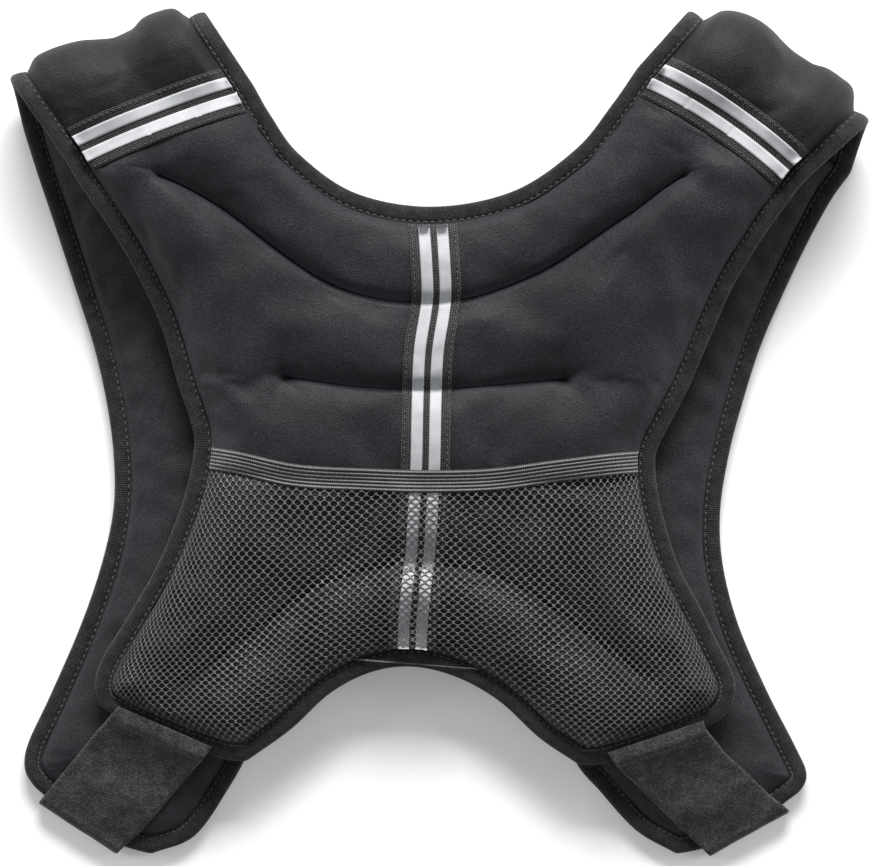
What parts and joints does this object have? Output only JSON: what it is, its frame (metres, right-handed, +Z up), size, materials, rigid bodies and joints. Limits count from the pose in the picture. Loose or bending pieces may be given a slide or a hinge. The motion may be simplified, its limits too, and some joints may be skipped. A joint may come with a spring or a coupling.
{
  "type": "weighted vest",
  "caption": "Padded vest with a quilted weighted back, folded shoulder pads, net pocket, reflective tapes and wide elastic side straps, lying flat.",
  "frame": {"origin": "centre of the vest's outline in plan, on the surface it lies on", "axes": "+X to the right seen from above, +Y from the hem to the shoulders, +Z up through the front panels to the back panel"},
  "size_m": [0.4392, 0.4314, 0.0583],
  "materials": {
    "neoprene": "matte knit-faced foam rubber",
    "binding_tape": "matte ribbed tape",
    "webbing": "matte woven webbing",
    "reflective_tape": "silver grey satin",
    "net": "fine knitted net",
    "elastic": "matte ribbed elastic",
    "buckle_plastic": "matte black plastic"
  },
  "bodies": {
    "root": {"back_panel": "neoprene", "front_panel_left": "neoprene", "front_panel_right": "neoprene", "shoulder_pad_left": "neoprene", "shoulder_pad_right": "neoprene", "binding_neck": "binding_tape", "binding_armhole_left": "binding_tape", "binding_armhole_right": "binding_tape", "binding_arch": "binding_tape", "back_webbing": "webbing", "shoulder_webbing_left": "webbing", "shoulder_webbing_right": "webbing", "back_tape_left": "reflective_tape", "back_tape_right": "reflective_tape", "shoulder_tape_lower_left": "reflective_tape", "shoulder_tape_upper_left": "reflective_tape", "shoulder_tape_lower_right": "reflective_tape", "shoulder_tape_upper_right": "reflective_tape", "pocket_band": "elastic", "mesh_pocket": "net", "side_strap_left": "elastic", "side_strap_right": "elastic", "front_webbing_left": "webbing", "front_webbing_right": "webbing", "front_buckle": "buckle_plastic"}
  },
  "joints": []
}
